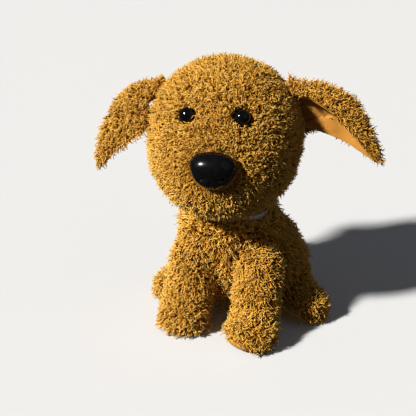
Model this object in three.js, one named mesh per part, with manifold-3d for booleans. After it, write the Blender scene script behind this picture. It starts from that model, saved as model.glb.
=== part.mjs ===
// A sitting plush puppy, about 24 cm tall: sewn pile-fabric panels over fibre filling, with a pellet
// bag in the seat, moulded plastic eyes and nose held by washers, lined ears and a ribbon at the neck.
// Millimetres, +Z up, the dog faces -Y and its left side is +X. The origin is on the floor, under the seat.
import * as THREE from "three";
import { mergeVertices } from "three/addons/utils/BufferGeometryUtils.js";
import Module from "manifold-3d";

const wasm = await Module();
wasm.setup();

// Fabric
const pile = 9; // thickness of the long-pile fabric, from backing to the tips
const backing = 1.6; // the woven layer that the pile stands on
const shortPile = 3; // thickness of the flattened fabric under the seat and of the paw soles
const seam = 0.4; // gap between two sewn panels
const slack = 0.3; // gap between a cover and what it holds
const jointGap = 0.8; // gap between two limbs that move on each other
const liningGap = 0.4; // gap between an ear's fur layer and its lining
const liningThick = 1.2;

// How far the sewn joints give, in degrees: the torso is hollow along the way of each limb
const frontSwing = 60;
const hindSplay = 40;
const tailWag = 30;
// Each cut of the torso for a turning limb: degrees between its steps, the gap round it and its facets
const coverCut = { step: 20, gap: 1.2, detail: 3 };
const fillingCut = { step: 30, gap: 3, detail: 2 };

// Head, in its own frame around the middle of the skull
const headCentre = [-9, -22, 172];
const headTurn = 8; // degrees to the dog's left at rest
const skullRadius = 69;
const gussetHalf = 20; // half the width of the strip over the crown
const muzzleAxis = new THREE.Vector3(0, -0.92, -0.39).normalize();
const muzzleStart = 46; // how far along its axis the muzzle panel begins
const throatTop = -42;
const eyesAt = { left: [21, -52, 33], right: [-26, -52, 33] }; // sewn a little to the dog's right
const eyeRadius = 7;
const eyeRim = 0.8; // straight edge below the dome
const eyeHeight = 6;
const noseAt = [0, -68, -6];
const noseSize = { width: 38, height: 30, depth: 15 };
const noseStemRadius = 3;
const eyeStemRadius = 2;
const stemLength = 9;
const eyeWasherRadius = 8.5;
const noseWasherRadius = 12;
const washerThick = 2;
const washerRoom = { round: 0.5, behind: 0.6, front: 1.2 }; // in the cover and the filling
const noseTaper = 6; // how much narrower the nose is below than above, on each side
const nostril = { out: 8.5, forward: 15, down: 3, radii: [4.2, 5, 2.8] };
const cleft = { forward: 15.5, down: 9, radii: [1.2, 4, 8] };

// Torso
const torsoCentre = [0, 4, 52];
const chestBack = -20; // the side seams that join the chest panel to the back panels
const beanTop = 30;
const neckRadius = 21;
const neckFloor = 92;
const neckHug = 2.4; // gap between the head and the neck's dish
const ribbonCentre = [-8, -14.5, 103.5];
const ribbonHalf = { x: 38.5, y: 33.5 }; // half the width and half the depth of its oval
const ribbonThick = 1.5;

// Legs and tail; every lobe is [centre x, y, z, radius x, y, z] for the dog's left side
const frontLegs = {
  left: { joint: [29, -40, 58], reach: 6 },
  right: { joint: [34, -40, 58], reach: -4 },
};
const shoulderRadius = 24;
const hindJoint = [43, 12, 28];
const hipRadius = 23;
const hindReach = { left: 7, right: 2 };
const tailRoot = [0, 66, 28];
const tailPile = 6;
const tailLobes = [
  [...tailRoot, 13, 13, 13],
  [0, 78, 32, 11, 14, 11],
  [0, 90, 38, 9, 13, 9],
];

const colours = {
  fur: 0xb98838,
  furShade: 0xa9782c,
  suede: 0xce9234,
  plastic: 0x0b0c0d,
  washer: 0xe8e6de,
  filling: 0xf1efe8,
  pellets: 0xe4e0d4,
  ribbon: 0xe6e2ea,
};

// Solids

function solid(geometry) {
  const plain = geometry.clone();
  plain.deleteAttribute("normal");
  plain.deleteAttribute("uv");
  const merged = mergeVertices(plain, 1e-4);
  return new wasm.Manifold(
    new wasm.Mesh({
      numProp: 3,
      vertProperties: new Float32Array(merged.attributes.position.array),
      triVerts: new Uint32Array(merged.index.array),
    }),
  );
}

function geometryOf(body) {
  const mesh = body.getMesh();
  const geometry = new THREE.BufferGeometry();
  geometry.setAttribute("position", new THREE.BufferAttribute(mesh.vertProperties.slice(), 3));
  geometry.setIndex(new THREE.BufferAttribute(mesh.triVerts.slice(), 1));
  const faceted = geometry.toNonIndexed();
  faceted.computeVertexNormals();
  return faceted;
}

function ball([x, y, z], radius, detail = 5) {
  return solid(new THREE.IcosahedronGeometry(radius, detail).translate(x, y, z));
}

// How far a ray from the origin of `from` runs along `direction` before it leaves an ellipsoid.
function rayExit(from, direction, [cx, cy, cz, rx, ry, rz]) {
  const o = [(from[0] - cx) / rx, (from[1] - cy) / ry, (from[2] - cz) / rz];
  const d = [direction.x / rx, direction.y / ry, direction.z / rz];
  const a = d[0] * d[0] + d[1] * d[1] + d[2] * d[2];
  const b = o[0] * d[0] + o[1] * d[1] + o[2] * d[2];
  const c = o[0] * o[0] + o[1] * o[1] + o[2] * o[2] - 1;
  const root = b * b - a * c;
  return root > 0 ? Math.max(0, (-b + Math.sqrt(root)) / a) : 0;
}

// A stuffed form: ellipsoid lobes blended into one skin around a middle point, then drawn in by inset.
function stuffed(centre, lobes, inset, detail, blend = 14) {
  const geometry = new THREE.IcosahedronGeometry(1, detail);
  const points = geometry.attributes.position;
  const direction = new THREE.Vector3();
  for (let i = 0; i < points.count; i += 1) {
    direction.fromBufferAttribute(points, i).normalize();
    const total = lobes.reduce((sum, lobe) => sum + rayExit(centre, direction, lobe) ** blend, 0);
    direction.multiplyScalar(total ** (1 / blend) - inset);
    points.setXYZ(i, centre[0] + direction.x, centre[1] + direction.y, centre[2] + direction.z);
  }
  return solid(geometry);
}

// The part of a body on the side of a plane that its normal points to.
function beyond(body, normal, distance) {
  const n = new THREE.Vector3(...normal).normalize();
  const half = new THREE.BoxGeometry(600, 600, 300).translate(0, 0, 150 + distance);
  half.applyQuaternion(new THREE.Quaternion().setFromUnitVectors(new THREE.Vector3(0, 0, 1), n));
  return body.intersect(solid(half));
}

function between(body, normal, low, high) {
  const flipped = normal.map((v) => -v);
  return beyond(beyond(body, normal, low), flipped, -high);
}

// A turned solid whose axis passes through `at` and points along `axis`; the profile is [radius, height].
function turned(profile, at, axis, sides = 20) {
  const points = profile.map(([r, h]) => new THREE.Vector2(r, h));
  const geometry = new THREE.LatheGeometry(points, sides);
  const up = new THREE.Vector3(0, 1, 0);
  geometry.applyQuaternion(new THREE.Quaternion().setFromUnitVectors(up, axis.clone().normalize()));
  return solid(geometry.translate(...at));
}

function mirrored(point, side) {
  return side === "left" ? point : [-point[0], ...point.slice(1)];
}

function mesh(name, body, colour, roughness = 0.95) {
  const material = new THREE.MeshStandardMaterial({ color: colour, roughness, metalness: 0 });
  const made = new THREE.Mesh(geometryOf(body), material);
  made.name = name;
  return made;
}

// The profile of a stem that holds an eye or the nose: a rod with a tapered end, below its base plane.
function stemProfile(radius, length) {
  return [
    [0, -length],
    [radius * 0.6, -length],
    [radius, 1 - length],
    [radius, 0.5],
    [0, 0.5],
  ];
}

function disc(radius, low, high) {
  return [
    [0, low],
    [radius, low],
    [radius, high],
    [0, high],
  ];
}

// Head

function makeHead() {
  const group = new THREE.Group();
  const middle = [0, 0, 0];
  const lobes = [
    [0, 0, 0, skullRadius, skullRadius, skullRadius],
    [0, -32, -17, 51, 44, 41],
    [0, -22, -22, 62, 30, 30],
  ];
  const skin = stuffed(middle, lobes, 0, 5);
  const inside = stuffed(middle, lobes, pile, 3);
  let cover = skin.subtract(inside);
  let filling = stuffed(middle, lobes, pile + slack, 3);

  // Plastic fittings stand on the backing, with a stem through it and a washer behind.
  const fittings = [];
  for (const side of ["left", "right"]) {
    const outward = new THREE.Vector3(...eyesAt[side]).normalize();
    const reach = rayExit(middle, outward, lobes[0]) - pile + backing;
    const at = outward.clone().multiplyScalar(reach).toArray();
    const dome = [[0, -stemLength], [eyeStemRadius, -stemLength], [eyeStemRadius, 0], [eyeRadius, 0]];
    for (let i = 0; i <= 4; i += 1) {
      const angle = (i / 4) * (Math.PI / 2);
      dome.push([eyeRadius * Math.cos(angle), eyeRim + eyeHeight * Math.sin(angle)]);
    }
    fittings.push(["eye_" + side, turned(dome, at, outward, 16), colours.plastic, 0.12]);
    const clearing = turned(disc(eyeRadius + slack, -0.2, 20), at, outward, 16);
    const stemHole = turned(disc(eyeStemRadius + slack, -stemLength - 1, 2), at, outward, 12);
    const washerTop = -backing - slack;
    const washer = turned(disc(eyeWasherRadius, washerTop - washerThick, washerTop), at, outward, 14);
    fittings.push(["eye_washer_" + side, washer.subtract(stemHole), colours.washer, 0.5]);
    const pocketSpan = [washerTop - washerThick - washerRoom.behind, washerTop + washerRoom.front];
    const pocket = turned(disc(eyeWasherRadius + washerRoom.round, ...pocketSpan), at, outward, 14);
    cover = cover.subtract(clearing).subtract(stemHole).subtract(pocket);
    filling = filling.subtract(pocket).subtract(stemHole);
  }

  // The nose: a broad moulded button, wide above, narrow below, with two nostrils and a cleft.
  const forward = new THREE.Vector3(0, -1, 0);
  const { width, height, depth } = noseSize;
  const noseLobes = [
    [0, 0, 3, width / 2, depth, height / 2 - 3],
    [0, 0, -3, width / 2 - noseTaper, depth - 1, height / 2 - 3],
  ];
  const button = beyond(stuffed(middle, noseLobes, 0, 4, 8), [0, -1, 0], 0);
  const dents = [
    [-nostril.out, -nostril.forward, -nostril.down, ...nostril.radii],
    [nostril.out, -nostril.forward, -nostril.down, ...nostril.radii],
    [0, -cleft.forward, -cleft.down, ...cleft.radii],
  ];
  const dentForms = dents.map((dent) => stuffed(dent.slice(0, 3), [dent], 0, 2));
  const carved = dentForms.reduce((body, dent) => body.subtract(dent), button);
  const noseStem = turned(stemProfile(noseStemRadius, stemLength + 3), middle, forward, 16);
  const nose = carved.add(noseStem).translate(noseAt);
  const noseRoom = beyond(stuffed(middle, noseLobes, -1, 3, 8), [0, -1, 0], -slack).translate(noseAt);
  const noseHole = turned(disc(noseStemRadius + slack, -stemLength - 4, 2), noseAt, forward, 16);
  const noseWasherTop = -backing - 2 * slack;
  const noseSpan = [noseWasherTop - washerThick, noseWasherTop];
  const noseWasher = turned(disc(noseWasherRadius, ...noseSpan), noseAt, forward, 24).subtract(noseHole);
  const nosePocketSpan = [noseSpan[0] - washerRoom.behind, noseSpan[1] + washerRoom.front];
  const pocketRadius = noseWasherRadius + washerRoom.round;
  const nosePocket = turned(disc(pocketRadius, ...nosePocketSpan), noseAt, forward, 24);
  cover = cover.subtract(noseRoom).subtract(noseHole).subtract(nosePocket);
  filling = filling.subtract(noseHole).subtract(nosePocket).subtract(noseRoom);
  fittings.push(["nose", nose, colours.plastic, 0.1], ["nose_washer", noseWasher, colours.washer, 0.5]);

  // Sewn panels: muzzle, throat, a gusset over the crown and two cheeks.
  const g = seam / 2;
  const front = muzzleAxis.toArray();
  const away = front.map((v) => -v);
  const rest = beyond(cover, away, -muzzleStart + g);
  const upper = beyond(rest, [0, 0, 1], throatTop + g);
  const panels = {
    muzzle_panel: beyond(cover, front, muzzleStart + g),
    throat_panel: beyond(rest, [0, 0, -1], -throatTop + g),
    head_gusset: between(upper, [1, 0, 0], -gussetHalf + g, gussetHalf - g),
    cheek_panel_left: beyond(upper, [1, 0, 0], gussetHalf + g),
    cheek_panel_right: beyond(upper, [-1, 0, 0], gussetHalf + g),
  };
  for (const [name, body] of Object.entries(panels)) group.add(mesh(name, body, colours.fur));
  group.add(mesh("head_filling", filling, colours.filling));
  for (const [name, body, colour, roughness] of fittings) group.add(mesh(name, body, colour, roughness));
  group.add(...makeEar("left"), ...makeEar("right"));
  group.position.set(...headCentre);
  group.rotation.z = THREE.MathUtils.degToRad(headTurn);
  return group;
}

// Ears: a leaf of fabric that runs out from the head, then hangs down, folded along a ridge. Its front
// half and its rear half droop from the ridge; the fur is outside the fold and the lining inside it.

const earShapes = {
  left: {
    ridge: [
      [46, 9, 50], [62, 8, 55], [83, 5, 54], [99, 2, 48],
      [114, 0, 37], [126, -4, 12], [131, -9, -14],
    ],
    front: [[-0.45, -0.5, -0.75], [-0.8, -0.5, -0.35]],
    rear: [[-0.4, 0.4, -0.85], [-0.85, 0.35, -0.35]],
    frontWidth: [8, 12, 17, 22, 26, 22, 4],
    rearWidth: [12, 24, 40, 54, 54, 38, 4],
  },
  right: {
    ridge: [
      [46, 9, 48], [62, 8, 49], [82, 5, 45], [101, 0, 33],
      [111, -5, 14], [112, -10, -8], [108, -14, -30],
    ],
    front: [[-0.4, -0.6, -0.7], [-0.95, -0.3, 0.05]],
    rear: [[-0.3, 0.7, -0.65], [-0.7, 0.7, 0.1]],
    frontWidth: [8, 9, 15, 34, 42, 30, 4],
    rearWidth: [12, 26, 46, 56, 48, 28, 4],
  },
};
const earSteps = { along: 10, across: 6 };
const earGap = 5.5; // room at the root for the ear to turn

function makeEar(side) {
  const shape = earShapes[side];
  const flip = side === "left" ? 1 : -1;
  const asVector = ([x, y, z]) => new THREE.Vector3(flip * x, y, z);
  const ridge = new THREE.CatmullRomCurve3(shape.ridge.map(asVector));
  const blendOf = (pair, u) => {
    const v = asVector(pair[0]).lerp(asVector(pair[1]), Math.min(1, u * 1.6));
    const along = ridge.getTangent(u);
    return v.addScaledVector(along, -v.dot(along)).normalize();
  };
  const widthOf = (widths, u) => {
    const spot = u * (widths.length - 1);
    const i = Math.min(widths.length - 2, Math.floor(spot));
    const t = spot - i;
    const s = t * t * (3 - 2 * t);
    return widths[i] * (1 - s) + widths[i + 1] * s;
  };
  // A point of the folded sheet: u runs from root to tip, v from the rear edge -1 to the front edge 1.
  const sheet = (u, v) => {
    const round = 0.3;
    const bend = Math.sqrt(v * v + round * round);
    const toFront = blendOf(shape.front, u).multiplyScalar(((bend + v) / 2) * widthOf(shape.frontWidth, u));
    const toRear = blendOf(shape.rear, u).multiplyScalar(((bend - v) / 2) * widthOf(shape.rearWidth, u));
    return ridge.getPoint(u).add(toFront).add(toRear);
  };
  const normal = (u, v) => {
    const h = 0.02;
    const du = sheet(Math.min(1, u + h), v).sub(sheet(Math.max(0, u - h), v));
    const dv = sheet(u, Math.min(1, v + h)).sub(sheet(u, Math.max(-1, v - h)));
    return dv.cross(du).multiplyScalar(flip).normalize();
  };
  const layer = (low, high) => {
    const { along, across } = earSteps;
    const positions = [];
    for (const height of [low, high])
      for (let i = 0; i <= along; i += 1)
        for (let j = 0; j <= across; j += 1) {
          const u = i / along;
          const v = (2 * j) / across - 1;
          positions.push(...sheet(u, v).addScaledVector(normal(u, v), height).toArray());
        }
    const row = across + 1;
    const top = (along + 1) * row;
    const quads = [];
    for (let i = 0; i < along; i += 1)
      for (let j = 0; j < across; j += 1) {
        const a = i * row + j;
        quads.push([a, a + 1, a + row + 1, a + row]);
        quads.push([top + a, top + a + row, top + a + row + 1, top + a + 1]);
      }
    for (let i = 0; i < along; i += 1)
      for (const j of [0, across]) {
        const a = i * row + j;
        quads.push(j ? [a, top + a, top + a + row, a + row] : [a, a + row, top + a + row, top + a]);
      }
    for (let j = 0; j < across; j += 1)
      for (const i of [0, along]) {
        const a = i * row + j;
        quads.push(i ? [a, a + 1, top + a + 1, top + a] : [a, top + a, top + a + 1, a + 1]);
      }
    const index = quads.flatMap(([a, b, c, d]) => [a, b, c, a, c, d]);
    const geometry = new THREE.BufferGeometry();
    geometry.setAttribute("position", new THREE.Float32BufferAttribute(positions, 3));
    geometry.setIndex(flip > 0 ? index.reverse() : index);
    return solid(geometry).subtract(ball([0, 0, 0], skullRadius + earGap, 6));
  };
  return [
    mesh("ear_back_" + side, layer(0, pile - 1), colours.furShade),
    mesh("ear_lining_" + side, layer(-liningGap - liningThick, -liningGap), colours.suede, 0.8),
  ];
}

// Torso and neck

const torsoLobes = [
  [0, 12, 38, 62, 55, 44],
  [-1, 0, 60, 57, 50, 40],
  [-8, -14, 82, 46, 40, 31],
];

function frontLobes(side) {
  const { joint, reach } = frontLegs[side];
  const [x, y, z] = joint;
  return [
    [x, y, z, shoulderRadius, shoulderRadius, shoulderRadius],
    [x, y - 11 - reach / 3, z - 24, 24, 23, 27],
    [x + 1, y - 25 - reach, 14, 27, 26, 20],
  ];
}

function hindLobes(side) {
  const [x, y, z] = hindJoint;
  const reach = hindReach[side];
  return [
    [x, y, z, hipRadius, hipRadius, hipRadius],
    [x + 9 + reach / 3, y - 14, 18, 21, 24, 19],
    [x + 19 + reach, y - 23, 14, 21, 22, 17],
  ];
}

// Limbs are sampled from inside the shin, so that both ends get facets of the same size.
function limbMiddle(lobes) {
  return lobes[1].slice(0, 3);
}

// The room that a limb needs while it turns about its joint between two angles, in degrees.
function sweptRoom(cut, lobes, joint, axis, low, high) {
  const form = stuffed(limbMiddle(lobes), lobes, -cut.gap, cut.detail);
  const steps = Math.ceil((high - low) / cut.step);
  let room = form;
  for (let i = 0; i <= steps; i += 1) {
    const angle = THREE.MathUtils.degToRad(low + ((high - low) * i) / steps);
    const turn = new THREE.Matrix4().makeTranslation(...joint);
    turn.multiply(new THREE.Matrix4().makeRotationAxis(new THREE.Vector3(...axis), angle));
    turn.multiply(new THREE.Matrix4().makeTranslation(...joint.map((v) => -v)));
    room = room.add(form.transform(turn.elements));
  }
  return room;
}

function mirrorLobes(lobes, side) {
  return lobes.map((lobe) => mirrored(lobe, side));
}

// A sewn limb: a cover in two halves and a flat sole round one filling, all trimmed at the floor.
function makeLimb(name, lobes, seamNormal) {
  const centre = limbMiddle(lobes);
  const standing = beyond(stuffed(centre, lobes, 0, 3), [0, 0, 1], 0);
  const hollow = beyond(stuffed(centre, lobes, pile, 2), [0, 0, 1], shortPile);
  const filling = beyond(stuffed(centre, lobes, pile + slack, 2), [0, 0, 1], shortPile + slack);
  const cover = standing.subtract(hollow);
  const soleTop = shortPile - seam / 2;
  const upper = beyond(cover, [0, 0, 1], soleTop + seam);
  const n = new THREE.Vector3(...seamNormal).normalize();
  const middle = n.dot(new THREE.Vector3(...centre));
  const halves = [beyond(upper, n.toArray(), middle + seam / 2)];
  halves.push(beyond(upper, n.clone().negate().toArray(), -middle + seam / 2));
  return [
    mesh(name + "_outer_panel", halves[0], colours.fur),
    mesh(name + "_inner_panel", halves[1], colours.fur),
    mesh(name + "_sole", beyond(cover, [0, 0, -1], -soleTop), colours.suede, 0.8),
    mesh(name + "_filling", filling, colours.filling),
  ];
}

function makeTorso() {
  const group = new THREE.Group();
  const [hx, hy] = headCentre;
  const up = new THREE.Vector3(0, 1, 0).applyAxisAngle(new THREE.Vector3(1, 0, 0), Math.PI / 2);
  const neckRooms = [
    ball(headCentre, skullRadius + neckHug + jointGap, 5),
    turned(disc(neckRadius + jointGap, neckFloor, 160), [hx, hy, 0], up),
  ];
  const turns = [[tailLobes, tailRoot, [0, 0, 1], -tailWag, tailWag]];
  for (const side of ["left", "right"]) {
    const front = mirrorLobes(frontLobes(side), side);
    const hind = mirrorLobes(hindLobes(side), side);
    group.add(...makeLimb("front_leg_" + side, front, mirrored([1, 0, 0], side)));
    group.add(...makeLimb("hind_leg_" + side, hind, mirrored([0.7, 0.7, 0], side)));
    const shoulder = mirrored(frontLegs[side].joint, side);
    const hipAxis = side === "left" ? [0, 0, 1] : [0, 0, -1];
    turns.push([front, shoulder, [-1, 0, 0], 0, frontSwing]);
    turns.push([hind, mirrored(hindJoint, side), hipAxis, 0, hindSplay]);
  }
  const clear = (body, cut) => {
    const rooms = [...neckRooms, ...turns.map((turn) => sweptRoom(cut, ...turn))];
    return rooms.reduce((left, room) => left.subtract(room), body);
  };

  // The seat is flat on the floor, and the pile under it is pressed down to shortPile.
  const skin = beyond(stuffed(torsoCentre, torsoLobes, 0, 5), [0, 0, 1], 0);
  const inside = beyond(stuffed(torsoCentre, torsoLobes, pile, 3), [0, 0, 1], shortPile);
  const core = beyond(stuffed(torsoCentre, torsoLobes, pile + slack, 3), [0, 0, 1], shortPile + slack);
  const cover = clear(skin.subtract(inside), coverCut);
  const filling = clear(core, fillingCut);
  const g = seam / 2;
  const seatTop = shortPile - g;
  const walls = beyond(cover, [0, 0, 1], seatTop + seam);
  const back = beyond(walls, [0, 1, 0], chestBack + g);
  group.add(
    mesh("chest_panel", beyond(walls, [0, -1, 0], -chestBack + g), colours.fur),
    mesh("back_panel_left", beyond(back, [1, 0, 0], g), colours.fur),
    mesh("back_panel_right", beyond(back, [-1, 0, 0], g), colours.fur),
    mesh("seat_panel", beyond(cover, [0, 0, -1], -seatTop), colours.fur),
    mesh("body_filling", beyond(filling, [0, 0, 1], beanTop + slack), colours.filling),
    mesh("pellet_bag", beyond(filling, [0, 0, -1], -beanTop), colours.pellets),
  );

  // The neck: a short filled column that turns in the torso, with a dish on top that cradles the skull.
  const column = turned(disc(neckRadius, neckFloor + slack, 130), [hx, hy, 0], up);
  const neck = column.subtract(ball(headCentre, skullRadius + neckHug, 5));
  group.add(mesh("neck_filling", neck, colours.filling));
  return group;
}

// The ribbon lies round the neck just under the head, in an oval a little wider than the neck.
function makeRibbon() {
  const section = [];
  for (let i = 0; i <= 6; i += 1) {
    const a = (i % 6) * (Math.PI / 3);
    section.push(new THREE.Vector2(ribbonHalf.y + ribbonThick * Math.cos(a), ribbonThick * Math.sin(a)));
  }
  const ring = new THREE.LatheGeometry(section, 24).rotateX(Math.PI / 2);
  ring.scale(ribbonHalf.x / ribbonHalf.y, 1, 1).translate(...ribbonCentre);
  return mesh("neck_ribbon", solid(ring), colours.ribbon, 0.6);
}

// A short tail: a tapering sewn tube in two halves round its filling.
function makeTail() {
  const middle = limbMiddle(tailLobes);
  const outside = stuffed(middle, tailLobes, 0, 3);
  const cover = outside.subtract(stuffed(middle, tailLobes, tailPile, 2));
  const filling = stuffed(middle, tailLobes, tailPile + slack, 2);
  return [
    mesh("tail_panel_left", beyond(cover, [1, 0, 0], seam / 2), colours.fur),
    mesh("tail_panel_right", beyond(cover, [-1, 0, 0], seam / 2), colours.fur),
    mesh("tail_filling", filling, colours.filling),
  ];
}

const dog = new THREE.Group();
dog.name = "plush_dog";
dog.add(makeHead(), makeTorso(), makeRibbon(), ...makeTail());

export default dog;
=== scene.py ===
# A sitting plush puppy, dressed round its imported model.
# Metres, +Z up; the dog faces -Y and its left side is +X.
import math

import bmesh
import bpy
import numpy as np
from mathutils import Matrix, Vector, noise
from mathutils.bvhtree import BVHTree
from mathutils.kdtree import KDTree


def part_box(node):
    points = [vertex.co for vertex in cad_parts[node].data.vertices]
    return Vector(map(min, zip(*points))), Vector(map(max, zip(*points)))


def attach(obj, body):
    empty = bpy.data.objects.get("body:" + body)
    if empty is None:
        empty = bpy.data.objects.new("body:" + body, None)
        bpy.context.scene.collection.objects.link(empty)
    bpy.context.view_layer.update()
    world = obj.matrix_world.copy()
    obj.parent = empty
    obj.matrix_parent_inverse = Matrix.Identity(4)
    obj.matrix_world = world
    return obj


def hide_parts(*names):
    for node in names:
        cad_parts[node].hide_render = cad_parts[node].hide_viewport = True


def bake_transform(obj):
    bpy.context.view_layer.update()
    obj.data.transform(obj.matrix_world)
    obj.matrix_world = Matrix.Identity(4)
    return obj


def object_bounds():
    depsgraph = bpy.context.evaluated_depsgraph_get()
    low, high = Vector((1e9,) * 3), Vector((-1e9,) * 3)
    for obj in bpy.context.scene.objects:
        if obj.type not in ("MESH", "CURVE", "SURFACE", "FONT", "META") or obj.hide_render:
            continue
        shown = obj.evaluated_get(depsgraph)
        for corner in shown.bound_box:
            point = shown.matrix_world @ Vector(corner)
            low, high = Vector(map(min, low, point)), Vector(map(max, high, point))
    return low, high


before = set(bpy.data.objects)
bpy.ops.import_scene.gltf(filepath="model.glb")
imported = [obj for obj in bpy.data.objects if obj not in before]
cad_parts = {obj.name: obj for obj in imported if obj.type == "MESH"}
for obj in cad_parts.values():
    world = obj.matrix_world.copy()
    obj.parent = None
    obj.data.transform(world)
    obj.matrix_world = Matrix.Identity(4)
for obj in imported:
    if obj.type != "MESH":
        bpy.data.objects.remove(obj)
cadLow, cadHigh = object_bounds()
scene = bpy.context.scene
noise.seed_set(5)   # so that the pile lies the same way at each run
print("frame loaded")


def linear(hexColour):
    parts = [int(hexColour[i:i + 2], 16) / 255 for i in (0, 2, 4)]
    return (*[c / 12.92 if c <= 0.04045 else ((c + 0.055) / 1.055) ** 2.4 for c in parts], 1.0)


def addNode(tree, kind, links=None, values=None, **settings):
    node = tree.nodes.new(kind)
    for name, value in settings.items():
        setattr(node, name, value)
    for socket, value in (values or {}).items():
        node.inputs[socket].default_value = value
    for socket, source in (links or {}).items():
        tree.links.new(source, node.inputs[socket])
    return node


def ramp(tree, source, stops):
    # a colour ramp through (place, hex colour) stops
    node = addNode(tree, "ShaderNodeValToRGB", {"Fac": source})
    line = node.color_ramp
    for place, colour in stops[1:-1]:
        line.elements.new(place)
    for element, (place, colour) in zip(line.elements, stops):
        element.position = place
        element.color = linear(colour)
    return node.outputs["Color"]


def newMaterial(name, values):
    material = bpy.data.materials.new(name)
    material.use_nodes = True
    tree = material.node_tree
    shader = tree.nodes["Principled BSDF"]
    for socket, value in values.items():
        shader.inputs[socket].default_value = value
    return material, tree, shader


def addObject(name, mesh, material=None):
    obj = bpy.data.objects.new(name, mesh)
    scene.collection.objects.link(obj)
    if material:
        mesh.materials.clear()
        mesh.materials.append(material)
    return obj


def toObject(name, form, material=None, smooth=True):
    # turns a bmesh into an object, and frees it
    mesh = bpy.data.meshes.new(name)
    form.to_mesh(mesh)
    form.free()
    mesh.shade_smooth() if smooth else mesh.shade_flat()
    return addObject(name, mesh, material)


def applyModifiers(obj):
    graph = bpy.context.evaluated_depsgraph_get()
    mesh = bpy.data.meshes.new_from_object(obj.evaluated_get(graph))
    obj.modifiers.clear()
    obj.data = mesh
    return obj


def formOf(source):
    form = bmesh.new()
    form.from_mesh(source.data if isinstance(source, bpy.types.Object) else source)
    return form


def nodeForm(*names):
    # a merged copy of CAD nodes
    form = bmesh.new()
    for name in names:
        form.from_mesh(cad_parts[name].data)
    bmesh.ops.remove_doubles(form, verts=form.verts, dist=1e-6)
    return form


def nodeTree(*names):
    return BVHTree.FromBMesh(nodeForm(*names))


def nodeCentre(name):
    form = nodeForm(name)
    middle = sum((v.co for v in form.verts), Vector()) / len(form.verts)
    form.free()
    return middle


def middleOf(name):
    low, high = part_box(name)
    return (low + high) / 2


view = {"azimuth": 17, "elevation": 24, "distance": 0.833, "lens": 80, "film": 36,
        "target": (-0.0285, -0.0091, 0.0947)}


def direction(azimuth, elevation):
    a, e = math.radians(azimuth), math.radians(elevation)
    return Vector((math.sin(a) * math.cos(e), -math.cos(a) * math.cos(e), math.sin(e)))


def makeCamera():
    camera = bpy.data.objects.new("camera", bpy.data.cameras.new("camera"))
    scene.collection.objects.link(camera)
    away = direction(view["azimuth"], view["elevation"])
    camera.location = Vector(view["target"]) + away * view["distance"]
    camera.rotation_euler = (-away).to_track_quat("-Z", "Y").to_euler()
    camera.data.lens = view["lens"]
    camera.data.sensor_width = view["film"]
    scene.camera = camera


# a broad far lamp high on the dog's right, a faint fill from the other side, and a pale backdrop
# that only the camera sees
studio = {
    "floor": "d0d1d3", "floorSize": 80.0, "floorGap": 0.0004,
    "key": {"azimuth": -41, "elevation": 37, "strength": 6.8, "angle": 5, "colour": "fffcf6"},
    "fill": {"azimuth": 70, "elevation": 35, "strength": 0.12, "angle": 60, "colour": "f4f6ff"},
    "surround": "f4f7ff", "surroundStrength": 0.075,
    "backdrop": "fbfbfa", "backdropRadius": 38.0,
}


def makeLight(name, lamp):
    light = bpy.data.lights.new(name, "SUN")
    light.angle = math.radians(lamp["angle"])
    light.energy = lamp["strength"]
    light.color = linear(lamp["colour"])[:3]
    obj = bpy.data.objects.new(name, light)
    scene.collection.objects.link(obj)
    shine = -direction(lamp["azimuth"], lamp["elevation"])
    obj.rotation_euler = shine.to_track_quat("-Z", "Y").to_euler()


def makeStudio():
    form = bmesh.new()
    bmesh.ops.create_grid(form, x_segments=1, y_segments=1, size=studio["floorSize"] / 2)
    bmesh.ops.translate(form, verts=form.verts, vec=(0, 0, cadLow.z - studio["floorGap"]))
    # painted board, matt: even and pale, with no gloss
    paint, tree, shader = newMaterial("matt_painted_board", {"Roughness": 0.9})
    shader.inputs["Base Color"].default_value = linear(studio["floor"])
    floor = toObject("floor", form, paint)
    floor.visible_diffuse = floor.visible_glossy = False   # the floor throws no light up into the fur
    form = bmesh.new()
    bmesh.ops.create_uvsphere(form, u_segments=32, v_segments=16, radius=studio["backdropRadius"])
    # lit paper: plain and even
    paper, tree, shader = newMaterial("lit_paper", {"Roughness": 1.0, "Emission Strength": 1.0})
    shader.inputs["Base Color"].default_value = linear("000000")
    shader.inputs["Emission Color"].default_value = linear(studio["backdrop"])
    backdrop = toObject("backdrop", form, paper)
    backdrop.visible_diffuse = backdrop.visible_glossy = backdrop.visible_shadow = False
    makeLight("keyLight", studio["key"])
    makeLight("fillLight", studio["fill"])
    scene.world = bpy.data.worlds.new("surround")
    scene.world.use_nodes = True
    surround = scene.world.node_tree.nodes["Background"]
    surround.inputs["Color"].default_value = linear(studio["surround"])
    surround.inputs["Strength"].default_value = studio["surroundStrength"]
    scene.view_settings.view_transform = "Standard"


makeCamera()
makeStudio()
print("camera and studio ready")


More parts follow.
